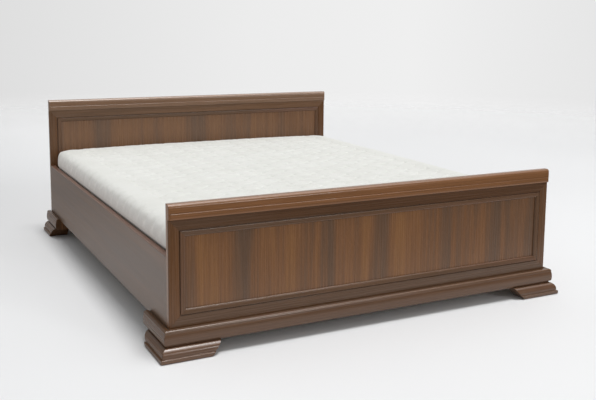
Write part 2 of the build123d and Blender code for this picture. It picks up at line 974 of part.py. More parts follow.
def stitch_places(spare=0):
    """X places of the stitched lines, which run from foot to head, with some spare ones at each side."""
    count = stitch_line_count + 2 * spare
    return [(i - (count - 1) / 2) * stitch_pitch for i in range(count)]


def crown_plane(x, lift):
    """Plane that touches the crown at x, raised by a lift."""
    fall = -2 * mattress_crown * x * (2 / mattress_width) ** 2
    normal = Vector(-fall, 0, 1).normalized()
    return Plane(Vector(x, mattress_middle, crown_height(x)) + normal * lift, Vector(1, 0, fall), normal)


def crown_outline():
    """Corners of the crown in (X, Z): a flat strip for each stitched line, each tangent to the crown, and
    spare strips that reach past the sides of the mattress."""
    lines = stitch_places(spare=2)
    corners = []
    for left, right in zip(lines, lines[1:]):
        drop = 4 * mattress_crown * left * right / mattress_width ** 2
        corners.append(((left + right) / 2, mattress_top - drop))
    ends = [(x, mattress_base) for x in (corners[-1][0], corners[0][0])]
    return corners + ends


def make_channel(x):
    """Wavy tube that presses one stitched line into the crown: arcs that bow in turn to each side."""
    bows = 2 * round((mattress_length - 2 * stitch_end_margin) / stitch_wave)
    step = stitch_wave / 2
    with BuildPart() as channel:
        with BuildLine(crown_plane(x, channel_radius - channel_depth)) as path:
            for i in range(bows):
                near = (i - bows / 2) * step
                bow = stitch_sway if i % 2 else -stitch_sway
                ThreePointArc((0, near), (bow, near + step / 2), (0, near + step))
        with BuildSketch(Plane(origin=path.line @ 0, z_dir=path.line % 0)):
            Circle(channel_radius)
        sweep()
    return channel


def make_padding():
    """Outer form of the mattress: rounded edges, sides that swell between them, and a stitched crown."""
    with BuildPart() as padding:
        levels = []
        for up, inward, swell in mattress_levels_shares:
            z = mattress_base + up * mattress_thickness
            inset = inward * mattress_edge_round
            side_inset = inset - swell * mattress_bulge
            levels.append(rounded_slab(z, side_inset, inset - swell * mattress_end_bulge))
        loft(sections=levels)
        with BuildSketch(front_plane(mattress_middle - mattress_length / 2 - cut_overrun)):
            Polygon(*crown_outline(), align=None)
        extrude(amount=-(mattress_length + 2 * cut_overrun), mode=Mode.INTERSECT)
        add([make_channel(x).part for x in stitch_places()], mode=Mode.SUBTRACT)
    return padding


def core_block(spare):
    """Foam core, or with a spare the hollow that the covers leave for it."""
    width = mattress_width - 2 * cover_side_wall + 2 * spare
    length = mattress_length - 2 * cover_side_wall + 2 * spare
    low = mattress_base + cover_base_wall - spare
    high = mattress_top - cover_top_wall + spare
    with BuildPart() as core:
        with BuildSketch(mattress_plane(low)):
            RectangleRounded(width, length, core_corner_radius + spare)
        extrude(amount=high - low)
        fillet(core.faces().sort_by(Axis.Z)[-1].edges(), core_edge_radius)
    return core


def make_cover(padding, hollow, low, high):
    """Cover between two heights, hollow for the core."""
    reach = mattress_width
    with BuildPart() as cover:
        add(padding.part)
        block((-reach, -mattress_length, low), (reach, mattress_length, high), Mode.INTERSECT)
        add(hollow.part, mode=Mode.SUBTRACT)
    return cover


def make_zip(hollow, middle):
    """Zip strip round the waist of the mattress, a little proud of the covers."""
    proud = mattress_bulge + zip_proud
    end_proud = mattress_end_bulge + zip_proud / 2
    with BuildPart() as strip:
        with BuildSketch(mattress_plane(middle - zip_height / 2)):
            RectangleRounded(
                mattress_width + 2 * proud, mattress_length + 2 * end_proud, mattress_corner_radius + proud,
            )
        extrude(amount=zip_height)
        add(hollow.part, mode=Mode.SUBTRACT)
    return strip


def make_mattress():
    padding = make_padding()
    hollow = core_block(seat_clearance)
    middle = mattress_base + zip_height_share * mattress_thickness
    above = mattress_top + cut_overrun
    save(core_block(0), "mattress_core")
    save(make_cover(padding, hollow, middle + zip_height / 2, above), "mattress_top_cover")
    below = mattress_base - cut_overrun
    save(make_cover(padding, hollow, below, middle - zip_height / 2), "mattress_base_cover")
    save(make_zip(hollow, middle), "mattress_zip")


make_mattress()
for board in boards:
    make_board(board)
    save_pair(make_plinth_return(board), board.name + "_{}_plinth_return")
    save_pair(make_corner_block(board), board.name + "_{}_corner_block")
    save_pair(make_foot_side(board), board.name + "_{}_side_foot")
save(make_plinth_front(), "footboard_plinth")
save_pair(make_foot_front(), "footboard_{}_front_foot")
save(make_foot_screws(), "foot_screws")
save(make_glides(), "foot_glides")
save_pair(make_side_rail(), "{}_side_rail")
save_pair(make_ledger(), "{}_slat_ledger")
save(
    screws_on_rails(ledger_screw_rods(0), ledger_screw_head_radius, ledger_screw_head_height),
    "ledger_screws",
)
save(
    screws_on_rails(bracket_screw_rods(0), bracket_screw_head_radius, bracket_screw_head_height),
    "bracket_screws",
)
save(make_corner_brackets(), "corner_brackets")
save(make_board_bolts(), "board_bolts")
save(make_inserts(), "threaded_inserts")
save_pair(make_slats(), "{}_slats")
save(make_tapes(), "slat_tapes")
save(make_beam(), "centre_beam")
save(make_hangers(), "beam_hangers")
save(make_hanger_screws(), "hanger_screws")
save(make_leg_studs(), "leg_studs")
for name, y in zip(("front", "rear"), leg_places()):
    save(make_leg(y), name + "_centre_leg")
    save(make_levelling_foot(y), name + "_levelling_foot")
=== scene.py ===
# %% [markdown]
# A walnut double bed with a quilted mattress.
# The joinery arrives as a finished frame: boards, mouldings, feet, rails, slats and fasteners, each at
# its real size. This lesson dresses it. Every wooden piece gets a veneer whose grain runs the way that
# the real piece was cut, and the mattress is sewn and puffed up as a soft thing.
# Everything is in metres, +Z is up, and the foot of the bed looks towards -Y.

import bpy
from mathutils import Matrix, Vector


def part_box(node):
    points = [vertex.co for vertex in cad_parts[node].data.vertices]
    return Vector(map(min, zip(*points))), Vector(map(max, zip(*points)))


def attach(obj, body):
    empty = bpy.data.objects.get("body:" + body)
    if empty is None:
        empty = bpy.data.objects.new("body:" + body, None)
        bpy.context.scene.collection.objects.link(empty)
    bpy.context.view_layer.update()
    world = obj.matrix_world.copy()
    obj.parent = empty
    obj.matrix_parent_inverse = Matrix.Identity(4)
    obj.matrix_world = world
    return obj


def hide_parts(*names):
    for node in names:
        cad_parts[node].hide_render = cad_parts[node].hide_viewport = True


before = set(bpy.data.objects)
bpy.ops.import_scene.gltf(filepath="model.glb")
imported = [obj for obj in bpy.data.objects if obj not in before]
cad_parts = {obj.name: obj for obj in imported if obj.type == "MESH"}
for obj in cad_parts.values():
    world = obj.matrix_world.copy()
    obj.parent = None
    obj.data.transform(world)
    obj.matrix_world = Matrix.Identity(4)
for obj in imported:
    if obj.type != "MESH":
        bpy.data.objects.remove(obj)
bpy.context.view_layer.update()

# %% [markdown]
# Every step below starts from a clean selection, because an operator acts on all that is selected and the
# frame arrives selected. Two small helpers clear the selection and pick one object alone.

# %% Tools
import math

import bpy
import numpy as np
from mathutils import Matrix, Vector

MILLIMETRE = 0.001


def clear_selection():
    """Nothing is selected or active, so that an operator meets only what is picked next."""
    for thing in bpy.context.selected_objects:
        thing.select_set(False)
    bpy.context.view_layer.objects.active = None


def pick(thing):
    """Select one object alone."""
    clear_selection()
    thing.select_set(True)
    bpy.context.view_layer.objects.active = thing


clear_selection()
print("nodes in the frame:", len(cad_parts))

# %% [markdown]
# The camera stands at the left of the foot end, twice as high as the footboard, with a long lens.
# A camera can be aimed by hand until things line up, or it can be solved from the corners of the object.
# The second way was taken, so its angles and its lens are given as they were solved. The focal length is
# in pixels of the picture, and the axis column and row are where the optical axis meets it.

# %% Camera
picture_width = 596
picture_height = 400
focal_pixels = 863.5
axis_column = 317.5
axis_row = 140.0
camera_place = Vector((-1.7464, -3.7797, 1.1825))
camera_yaw = math.radians(27.93)
camera_pitch = math.radians(-8.07)
camera_roll = math.radians(0.66)

bpy.ops.object.camera_add(location=camera_place)
camera = bpy.context.object
camera.name = "camera"
forward = Vector((
    math.sin(camera_yaw) * math.cos(camera_pitch),
    math.cos(camera_yaw) * math.cos(camera_pitch),
    math.sin(camera_pitch),
))
level_right = Vector((math.cos(camera_yaw), -math.sin(camera_yaw), 0))
level_up = level_right.cross(forward)
right = math.cos(camera_roll) * level_right + math.sin(camera_roll) * level_up
up = math.cos(camera_roll) * level_up - math.sin(camera_roll) * level_right
turn = Matrix((right, up, -forward)).transposed()
camera.matrix_world = Matrix.Translation(camera_place) @ turn.to_4x4()
camera.data.sensor_width = 36
camera.data.lens = focal_pixels / picture_width * camera.data.sensor_width
camera.data.shift_x = (picture_width / 2 - axis_column) / picture_width
camera.data.shift_y = (axis_row - picture_height / 2) / picture_width
bpy.context.scene.camera = camera
print("lens", round(camera.data.lens, 2), "mm")

# %% [markdown]
# Shaders are made of nodes. Writing each node and each link by hand is long, so two small classes stand
# in for them here: a Signal is the output of a node and can be added and multiplied like a number, and a
# Finish is a material under construction.

# %% Shader tools


class Signal:
    """The output of a node, which can stand in a sum: each sign adds a Math node."""

    def __init__(self, finish, socket):
        self.finish = finish
        self.socket = socket

    def maths(self, operation, *values):
        sockets = dict(enumerate(values))
        return self.finish.node("ShaderNodeMath", {"operation": operation}, sockets)

    def __add__(self, other):
        return self.maths("ADD", self, other)

    __radd__ = __add__

    def __sub__(self, other):
        return self.maths("SUBTRACT", self, other)

    def __rsub__(self, other):
        return self.maths("SUBTRACT", other, self)

    def __mul__(self, other):
        return self.maths("MULTIPLY", self, other)

    __rmul__ = __mul__

    def __truediv__(self, other):
        return self.maths("DIVIDE", self, other)

    def __abs__(self):
        return self.maths("ABSOLUTE", self)

    def sine(self):
        return self.maths("SINE", self)

    def fraction(self):
        return self.maths("FRACT", self)

    def remap(self, low, high, out_low=0.0, out_high=1.0):
        """Where the signal goes from low to high, the answer goes smoothly from out_low to out_high."""
        return self.finish.node(
            "ShaderNodeMapRange", {"interpolation_type": "SMOOTHSTEP"},
            {"Value": self, "From Min": low, "From Max": high, "To Min": out_low, "To Max": out_high},
        )


class Finish:
    """A material, and the one method that adds a node to it."""

    def __init__(self, name):
        self.material = bpy.data.materials.new(name)
        self.material.use_nodes = True
        self.take(self.material.node_tree)

    @classmethod
    def on_tree(cls, tree):
        """The same tools for a tree that is no material's, such as the sky's."""
        finish = cls.__new__(cls)
        finish.take(tree)
        return finish

    def take(self, tree):
        self.tree = tree
        self.tree.nodes.clear()

    def node(self, kind, settings=None, sockets=None, output=None):
        """Add a node, set its settings, then its sockets, and give one of its outputs as a signal."""
        made = self.tree.nodes.new(kind)
        for name, value in (settings or {}).items():
            if name == "stops":
                self.set_stops(made.color_ramp, value)
            else:
                setattr(made, name, value)
        for name, value in (sockets or {}).items():
            socket = self.find(made.inputs, name)
            if isinstance(value, Signal):
                self.tree.links.new(value.socket, socket)
            else:
                socket.default_value = value
        if made.outputs:
            return Signal(self, self.find(made.outputs, output or 0))

    def find(self, sockets, name):
        """The socket in use with that name or place."""
        used = [socket for socket in sockets if socket.enabled]
        if isinstance(name, int):
            return used[name]
        return next(socket for socket in used if socket.name == name)

    def set_stops(self, ramp, stops):
        while len(ramp.elements) > 1:
            ramp.elements.remove(ramp.elements[-1])
        ramp.elements[0].position, ramp.elements[0].color = stops[0][0], (*stops[0][1], 1)
        for position, colour in stops[1:]:
            ramp.elements.new(position).color = (*colour, 1)

    def place(self, stretch=(1, 1, 1), shift=(0, 0, 0)):
        """The point on the object, stretched and moved before a pattern reads it."""
        point = self.node("ShaderNodeTexCoord", output="Object")
        sockets = {"Vector": point, "Scale": stretch, "Location": shift}
        return self.node("ShaderNodeMapping", sockets=sockets)

    def noise(self, place, scale, detail=2.0, roughness=0.5, distortion=0.0):
        return self.node(
            "ShaderNodeTexNoise",
            sockets={
                "Vector": place, "Scale": scale, "Detail": detail, "Roughness": roughness,
                "Distortion": distortion,
            },
        )

    def blend(self, factor, first, second, kind="MIX"):
        """Mix two colours, each an (r, g, b) triple or a signal."""
        first, second = (c if isinstance(c, Signal) else (*c, 1) for c in (first, second))
        settings = {"data_type": "RGBA", "blend_type": kind}
        return self.node("ShaderNodeMix", settings, {"Factor": factor, "A": first, "B": second})

    def surface(self, **sockets):
        """The last step: a Principled surface. Names are written with _ for a space."""
        named = {name.replace("_", " "): value for name, value in sockets.items()}
        shader = self.node("ShaderNodeBsdfPrincipled", sockets=named)
        self.node("ShaderNodeOutputMaterial", sockets={"Surface": shader})
        return self.material

    def grey_of(self, signal):
        """A number as a grey colour."""
        return self.node("ShaderNodeCombineColor", sockets={"Red": signal, "Green": signal, "Blue": signal})

    def bump(self, height, distance, strength=1.0, edge_radius=0.0):
        """Relief from a height, on a surface whose sharp edges catch light as if they were rounded."""
        sockets = {"Height": height, "Distance": distance, "Strength": strength}
        if edge_radius:
            sockets["Normal"] = self.node("ShaderNodeBevel", {"samples": 4}, {"Radius": edge_radius})
        return self.node("ShaderNodeBump", sockets=sockets)


def grey(value):
    return (value, value, value)


# %% [markdown]
# The studio is a pale sweep of paper under a pale sky, with two wide lamps that both stand to the right.
# One is nearly overhead. The other is low in front of the foot end and reaches in under the plinth. Small
# strong lamps would give hard shadows. Wide ones give soft shadows and the long highlights that show the
# mouldings. The paper melts into the sky a few metres away, so that no horizon crosses the picture. Rays
# that the lacquer mirrors meet another studio than the camera sees: a bright panel overhead, and in front
# a room dimmer than the paper. Both were tuned to the highlights in the photo.

# %% Studio
floor_size = 26.0
floor_drop = 0.0005
floor_tone = 0.775
floor_tint = (0.993, 1.0, 1.010)
melt_start = 3.6
melt_end = 10.0
panel_strength = 5.0
sky_light_share = 0.66
sky_tones = ((0.0, 0.72), (0.13, 0.735), (0.40, 0.84), (0.56, 0.865), (0.74, 0.785), (1.0, 0.76))


def studio_floor():
    """Paper with painted shade at the left and back, and that looks dim to what the lacquer mirrors."""
    finish = Finish("studio_floor")
    point = finish.place()
    across = finish.node("ShaderNodeSeparateXYZ", sockets={"Vector": point}, output="X")
    along = Signal(finish, across.socket.node.outputs["Y"])
    glossy = finish.node("ShaderNodeLightPath", output="Is Glossy Ray")
    seen = 1 - glossy * (1 - along.remap(-2.2, -1.15, 0.08, 1.0) * along.remap(0.2, 2.0, 1.0, 0.55))
    cloud = finish.noise(point, 0.35, detail=1.0).remap(0.3, 0.7, 0.985, 1.015)
    # Painted shade: the paper darkens towards the left and the back, and most behind the bed's left end,
    # where the headboard's shade falls.
    side = across.remap(-2.2, -0.6, 0.88, 1.0) * along.remap(-1.0, 2.5, 1.0, 0.88)
    side = side * (1 - across.remap(-1.2, 0.0, 0.10, 0.0) * along.remap(-0.5, 1.5))
    tone = finish.grey_of(cloud * side * seen * floor_tone)
    tone = finish.blend(1.0, tone, floor_tint, "MULTIPLY")
    distance = finish.node("ShaderNodeVectorMath", {"operation": "LENGTH"}, {0: point}, output="Value")
    return finish.surface(
        Base_Color=tone, Roughness=0.75, Specular_IOR_Level=0.2,
        Alpha=distance.remap(melt_start, melt_end, 1.0, 0.0),
    )


clear_selection()
bpy.ops.mesh.primitive_plane_add(size=floor_size, location=(0, 0, -floor_drop))
floor = bpy.context.object
floor.name = "floor"
floor.data.materials.append(studio_floor())


def studio_sky():
    """Pale all round, a little darker at the left. It lights the bed by less than it shows."""
    world = bpy.data.worlds.new("studio_sky")
    world.use_nodes = True
    sky = Finish.on_tree(world.node_tree)
    heading = sky.node("ShaderNodeTexCoord", output="Generated")
    across = sky.node("ShaderNodeSeparateXYZ", sockets={"Vector": heading}, output="X")
    along = Signal(sky, across.socket.node.outputs["Y"])
    height = Signal(sky, across.socket.node.outputs["Z"])
    stops = [(place, grey(tone)) for place, tone in sky_tones]
    tone = sky.node("ShaderNodeValToRGB", {"stops": stops}, {"Fac": across}, output="Color")
    ray = sky.node("ShaderNodeLightPath", output="Is Diffuse Ray")
    glossy = Signal(sky, ray.socket.node.outputs["Is Glossy Ray"])
    front = along.remap(-0.7, 0.25, 0.10, 1.0)
    low = height.remap(-0.05, 0.30, 0.60, 1.0)
    overhead = height.remap(0.68, 0.92, 0.0, panel_strength)
    strength = (1 - ray * (1 - sky_light_share)) * (1 - glossy * (1 - front * low - overhead))
    shader = sky.node("ShaderNodeBackground", sockets={"Color": tone, "Strength": strength})
    sky.node("ShaderNodeOutputWorld", sockets={"Surface": shader})
    return world


bpy.context.scene.world = studio_sky()
bpy.context.scene.view_settings.view_transform = "Standard"


def soft_sun(name, azimuth, height, width, strength):
    """A wide sun. Azimuth is measured like a compass from -Y towards +X, and width is its apparent size."""
    bpy.ops.object.light_add(type="SUN", location=(0, 0, 4))
    lamp = bpy.context.object
    lamp.name = name
    lamp.data.energy = strength
    lamp.data.angle = math.radians(width)
    lamp.rotation_euler = (math.radians(90 - height), 0, math.radians(azimuth))
    return lamp


clear_selection()
soft_sun("top_lamp", 56, 80, 20, 1.97)
soft_sun("front_lamp", 26, 21, 12, 0.43)
print("lamps and floor are in place")

# %% [markdown]
# Walnut veneer. The real boards are chipboard under a thin sheet of walnut decor in satin lacquer. Its
# grain is a set of layers: broad bands of honey and grey-brown a hand wide, a finer figure in each band,
# lines a few millimetres apart, and short dark pores. A wood picture would be quicker, but noise
# stretched along the grain gives the same layers with no picture. The field of each board also gets the
# dark bands of a printed decor, which come back at a fixed pitch. The real bed probably has one decor all
# over. Here each kind of piece has its own tone and gloss, tuned until it looked as in the photo under
# these lamps, which aren't the lamps of the photo. So the tones are lit and shaded copies of one walnut,
# with painted light and painted shade in them. There is painted shade on the footboard's top rail under
# the cap, on the returns and side feet, and along the side rails' top edge. The headboard carries painted
# reflection of the white mattress. Under other lamps the pieces can look unlike one another.

# %% Walnut
# How much the pattern is stretched along the grain, and how fine it is across.
band_run = 0.12
figure_run = 0.03
line_run = 0.010
pore_run = 0.05
line_scale = 260.0
pore_scale = 1300.0
relief_depth = 0.10 * MILLIMETRE
# Painted shade darkens the rail's top edge under the mattress. Its tone fades in between these depths below.
shade_fade_start = 1.2 * MILLIMETRE
shade_fade_full = 0.4 * MILLIMETRE


def stretched(along, run, across=1.0):
    """Scale of a pattern whose features are long in one direction: along is 0, 1 or 2 for X, Y or Z."""
    scale = [across] * 3
    scale[along] = run
    return tuple(scale)


def walnut(name, along, light, warm, dark, band=5.0, gloss=0.26, shift=(0, 0, 0), contrast=1.0, repeat=0.0,
           streak=0.16, shine=0.5, arris=1.0 * MILLIMETRE, painted_shade_top=None):
    """Satin walnut whose grain runs along one axis. With a repeat, dark bands come back at that pitch."""
    finish = Finish(name)
    broad = finish.noise(finish.place(stretched(along, band_run), shift), band, detail=1.5, distortion=0.15)
    figure_place = finish.place(stretched(along, figure_run), shift)
    figure = finish.noise(figure_place, band * 6, detail=3.0, roughness=0.6)
    line_place = finish.place(stretched(along, line_run), shift)
    lines = finish.noise(line_place, line_scale, detail=3.0, roughness=0.75)
    pores = finish.noise(finish.place(stretched(along, pore_run), shift), pore_scale, detail=1.0)
    tone = broad * 0.52 + figure * 0.48
    if repeat:
        place = finish.node("ShaderNodeSeparateXYZ", sockets={"Vector": finish.place()}, output="X")
        place = place + (figure - 0.5) * 0.03
        for offset, depth, half_width in band_places:
            away = abs((place / repeat + (0.5 - offset / repeat)).fraction() - 0.5) * repeat
            tone = tone - away.remap(0.25 * half_width, half_width, depth, 0.0)
    tone = tone.remap(0.5 - 0.20 / contrast, 0.5 + 0.20 / contrast)
    base = finish.node(
        "ShaderNodeValToRGB",
        {"stops": [(0.0, dark), (0.45, warm), (0.85, light), (1.0, light)]}, {"Fac": tone}, output="Color",
    )
    streaks = lines.remap(0.32, 0.68, 1.0 - streak, 1.0 + 0.8 * streak)
    base = finish.blend(1.0, base, finish.grey_of(streaks), "MULTIPLY")
    pits = pores.remap(0.62, 0.72)
    base = finish.blend(pits * 0.30, base, tuple(0.45 * c for c in dark))
    # Painted shade: the rail's top edge turns dark under the mattress close above it.
    if painted_shade_top:
        height = finish.node("ShaderNodeSeparateXYZ", sockets={"Vector": finish.place()}, output="Z")
        base = finish.blend(height.remap(painted_shade_top - shade_fade_start, painted_shade_top - shade_fade_full), base, painted_shade_tone)
    relief = lines * 0.5 + pits * -0.5
    return finish.surface(
        Base_Color=base,
        Roughness=lines.remap(0.3, 0.7, gloss - 0.03, gloss + 0.04),
        Specular_IOR_Level=shine,
        Normal=finish.bump(relief, relief_depth, 0.5, edge_radius=arris),
    )


honey = (0.222, 0.100, 0.034)
russet = (0.180, 0.080, 0.031)
umber = (0.115, 0.064, 0.036)
olive = (0.127, 0.051, 0.014)
bistre = (0.111, 0.053, 0.022)
taupe = (0.180, 0.092, 0.045)
madder = (0.150, 0.070, 0.038)
painted_shade_tone = (0.095, 0.046, 0.030)
cap_light = (0.218, 0.095, 0.037)
cap_warm = (0.190, 0.083, 0.032)
# Painted shade: the footboard's top rail is a darker copy of the walnut, for the shade under the cap.
top_rail_shaded_light = (0.102, 0.045, 0.018)
top_rail_shaded_warm = (0.094, 0.040, 0.014)
plinth_light = (0.125, 0.064, 0.033)
plinth_warm = (0.114, 0.058, 0.031)
foot_light = (0.125, 0.061, 0.030)
foot_warm = (0.114, 0.055, 0.028)
# Painted shade: the plinth returns and side feet are a darker copy, for the shade at the bed's left side.
return_shaded_light = (0.092, 0.043, 0.018)
return_shaded_warm = (0.086, 0.040, 0.016)
# Painted reflection: the headboard's field, top rail and cap are lighter and greyer, for the white mattress
# they mirror.
head_field_tones = ((0.226, 0.110, 0.048), (0.192, 0.095, 0.046), (0.135, 0.080, 0.050))
head_cap_light = (0.215, 0.123, 0.072)
head_cap_warm = (0.200, 0.112, 0.064)
side_tones = ((0.135, 0.068, 0.031), (0.105, 0.054, 0.026), (0.080, 0.045, 0.025))
along_x, along_y, along_z = 0, 1, 2
# Dark bands of the printed walnut, read off the photo: place within the repeat, depth, half the width.
band_places = ((0.0, 0.13, 0.060), (0.235, 0.05, 0.040), (0.330, 0.07, 0.035))

field_veneer = walnut("field_veneer", along_z, honey, russet, umber, band=7.0, repeat=0.56, contrast=0.8,
                      streak=0.12)
head_field_veneer = walnut("head_field_veneer", along_z, *head_field_tones, band=7.0, repeat=0.56,
                           contrast=0.6, streak=0.10)
stile_veneer = walnut("stile_veneer", along_z, olive, olive, umber, shift=(3, 1, 0), contrast=0.8)
rail_veneer = walnut("rail_veneer", along_x, bistre, bistre, umber, shift=(0, 2, 5), contrast=0.8,
                     arris=2.4 * MILLIMETRE)
top_rail_shaded_veneer = walnut("top_rail_shaded_veneer", along_x, top_rail_shaded_light, top_rail_shaded_warm, umber,
                         shift=(0, 2, 5), contrast=0.8)
head_rail_veneer = walnut("head_rail_veneer", along_x, taupe, taupe, umber, shift=(0, 2, 5), contrast=0.8)
cap_veneer = walnut("cap_veneer", along_x, cap_light, cap_warm, russet, gloss=0.20, contrast=0.6,
                    shine=0.42)
head_cap_veneer = walnut("head_cap_veneer", along_x, head_cap_light, head_cap_warm, taupe, contrast=0.6)
plinth_veneer = walnut("plinth_veneer", along_x, plinth_light, plinth_warm, umber, gloss=0.19,
                       contrast=0.8, shine=0.52)
foot_veneer = walnut("foot_veneer", along_x, foot_light, foot_warm, umber, gloss=0.22, contrast=0.8,
                     shine=0.60, arris=2.0 * MILLIMETRE)
return_shaded_veneer = walnut("return_shaded_veneer", along_y, return_shaded_light, return_shaded_warm, umber, contrast=0.8,
                       shine=0.16, arris=2.0 * MILLIMETRE)
bead_veneer_level = walnut("bead_veneer_level", along_x, madder, bistre, umber, contrast=0.8)
bead_veneer_upright = walnut("bead_veneer_upright", along_z, madder, bistre, umber, contrast=0.8)
side_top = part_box("left_side_rail")[1].z
side_veneer = walnut("side_veneer", along_y, *side_tones, gloss=0.36, contrast=0.8, streak=0.15,
                     painted_shade_top=side_top)
print("walnut finishes:", sum(m.name.endswith(("veneer", "level", "upright")) for m in bpy.data.materials))

# %% [markdown]
# Plain timber, metal, plastic and webbing. Slats, ledgers and the centre beam are bare planed softwood.
# The fasteners are zinc plated, the threaded inserts brass, and the glides nylon.

# %% Plain timber


def softwood(name, along):
    """Bare planed pine with year rings seen edge on."""
    finish = Finish(name)
    place = finish.place(stretched(along, 0.05))
    rings = finish.noise(place, 26.0, detail=3.0, distortion=0.4)
    fibre = finish.noise(finish.place(stretched(along, 0.02)), 420.0, detail=2.0)
    base = finish.node(
        "ShaderNodeValToRGB",
        {"stops": [(0.30, (0.66, 0.47, 0.27)), (0.52, (0.78, 0.61, 0.39)), (0.72, (0.60, 0.40, 0.21))]},
        {"Fac": rings}, output="Color",
    )
    base = finish.blend(1.0, base, finish.grey_of(fibre.remap(0.3, 0.7, 0.88, 1.06)), "MULTIPLY")
    return finish.surface(
        Base_Color=base, Roughness=fibre.remap(0.3, 0.7, 0.52, 0.66),
        Normal=finish.bump(fibre, 0.0002, 0.5), Specular_IOR_Level=0.35,
    )


def plated(name, tone, colour_shift, roughness):
    """Plated or turned metal with fine scratches."""
    finish = Finish(name)
    cloud = finish.noise(finish.place(), 90.0, detail=3.0)
    scratch = finish.noise(finish.place((1, 0.08, 1)), 900.0, detail=1.0)
    base = finish.blend(cloud, tone, tuple(c * s for c, s in zip(tone, colour_shift)))
    return finish.surface(
        Base_Color=base, Metallic=1.0, Roughness=cloud.remap(0.3, 0.7, roughness - 0.06, roughness + 0.08),
        Normal=finish.bump(scratch, 0.00006, 0.5),
    )


def moulded_plastic(name, tone):
    finish = Finish(name)
    grain = finish.noise(finish.place(), 1100.0, detail=2.0)
    base = finish.blend(grain, tuple(0.8 * c for c in tone), tuple(1.2 * c for c in tone))
    return finish.surface(
        Base_Color=base, Roughness=grain.remap(0.3, 0.7, 0.48, 0.60),
        Normal=finish.bump(grain, 0.0001, 0.4),
    )


def woven_tape(name, tone):
    """Plain weave: two sets of threads, each over and under the other."""
    finish = Finish(name)
    thread = 2 * math.pi / (1.4 * MILLIMETRE)
    point = finish.place()
    axes = finish.node("ShaderNodeSeparateXYZ", sockets={"Vector": point}, output="X")
    other = Signal(finish, axes.socket.node.outputs["Y"])
    weave = (axes * thread).sine() * (other * thread).sine()
    base = finish.blend(weave.remap(-1, 1), tuple(0.82 * c for c in tone), tone)
    return finish.surface(Base_Color=base, Roughness=0.85, Normal=finish.bump(weave, 0.0002, 0.6))


slat_timber = softwood("slat_timber", along_x)
beam_timber = softwood("beam_timber", along_y)
leg_timber = softwood("leg_timber", along_z)
zinc = plated("zinc_plate", (0.62, 0.63, 0.64), (0.86, 0.88, 0.92), 0.30)
brass = plated("turned_brass", (0.68, 0.50, 0.22), (0.90, 0.86, 0.80), 0.28)
nylon = moulded_plastic("black_nylon", (0.020, 0.018, 0.016))
webbing = woven_tape("webbing", (0.70, 0.67, 0.60))
print("materials so far:", len(bpy.data.materials))

# %% [markdown]
# Each node of the frame now gets the finish that suits it. Names could be matched one by one, but pieces
# of one kind end in the same word, so the first ending that fits decides. The mattress nodes are left,
# because soft pieces made below stand in for them.

# %% Finishes onto the frame
finish_of_ending = (
    ("headboard_core_board", head_field_veneer),
    ("headboard_top_rail", head_rail_veneer),
    ("headboard_cap", head_cap_veneer),
    ("core_board", field_veneer),
    ("_stile", stile_veneer),
    ("top_rail", top_rail_shaded_veneer),
    ("bottom_rail", rail_veneer),
    ("bead_stiles", bead_veneer_upright),
    ("bead_rails", bead_veneer_level),
    ("_cap", cap_veneer),
    ("footboard_plinth", plinth_veneer),
    ("front_foot", foot_veneer),
    ("plinth_return", return_shaded_veneer),
    ("side_foot", return_shaded_veneer),
    ("side_rail", side_veneer),
    ("corner_block", stile_veneer),
    ("cap_dowels", leg_timber),
    ("_slats", slat_timber),
    ("slat_ledger", beam_timber),
    ("centre_beam", beam_timber),
    ("centre_leg", leg_timber),
    ("slat_tapes", webbing),
    ("threaded_inserts", brass),
    ("foot_glides", nylon),
    ("levelling_foot", zinc),
    ("screws", zinc),
    ("brackets", zinc),
    ("bolts", zinc),
    ("studs", zinc),
    ("hangers", zinc),
)
for name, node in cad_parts.items():
    chosen = [material for ending, material in finish_of_ending if name.endswith(ending)]
    if chosen:
        node.data.materials.clear()
        node.data.materials.append(chosen[0])
    else:
        print("left for a soft piece:", name)

# %% [markdown]
# The mattress. On the real bed a knitted cover is quilted over thin wadding, and two such covers, top
# and base, zip together round a core. It could be a box with a bump map, but its edges would stay
# straight. Here the top cover starts as a grid whose columns follow the wavy stitch lines. The lines are
# pinned and the cloth between them is blown up with air, so it puffs as wadding does.

# %% Mattress sizes
cover_low, cover_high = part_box("mattress_top_cover")
base_low, base_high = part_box("mattress_base_cover")
zip_low, zip_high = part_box("mattress_zip")
middle_y = (cover_low.y + cover_high.y) / 2
pitch = 0.115
line_count = 13
wave_length = 0.098
wave_sway = 0.025
columns_per_pitch = 10
side_columns = 6
rows_per_wave = 8
shoulder = 0.056
crown_drop = 0.005
corner_square = 0.022
# The zip lies between two seams, one just above the top edge of the side rails and one below it.
seam_high = 0.3640
seam_low = 0.3520
# The base cover stops a little short of the rails' inner faces.
base_reach = 0.8232
side_clearance = 0.006
end_clearance = 0.002
plan_half_x = cover_high.x - side_clearance
plan_half_y = (cover_high.y - cover_low.y) / 2 - end_clearance
end_share = 0.66
corner_sharpness = 0.75
end_fade_length = 0.045
puff_room = 0.0045
last_line = (line_count - 1) / 2 * pitch
edge_x = plan_half_x - shoulder
edge_y = plan_half_y - shoulder
print("mattress plan", 2 * plan_half_x, "by", 2 * plan_half_y)


def smooth(value):
    """0 below 0, 1 above 1, and a smooth step between."""
    value = np.clip(value, 0, 1)
    return value * value * (3 - 2 * value)


def wave_at(x, y):
    """How far the pattern stands to the side at (x, y). It dies out towards the edges."""
    side_fade = np.clip((edge_x - np.abs(x)) / (edge_x - last_line), 0, 1)
    end_fade = smooth((edge_y - np.abs(y)) / end_fade_length)
    return -wave_sway * np.sin(2 * math.pi * y / wave_length) * side_fade * end_fade


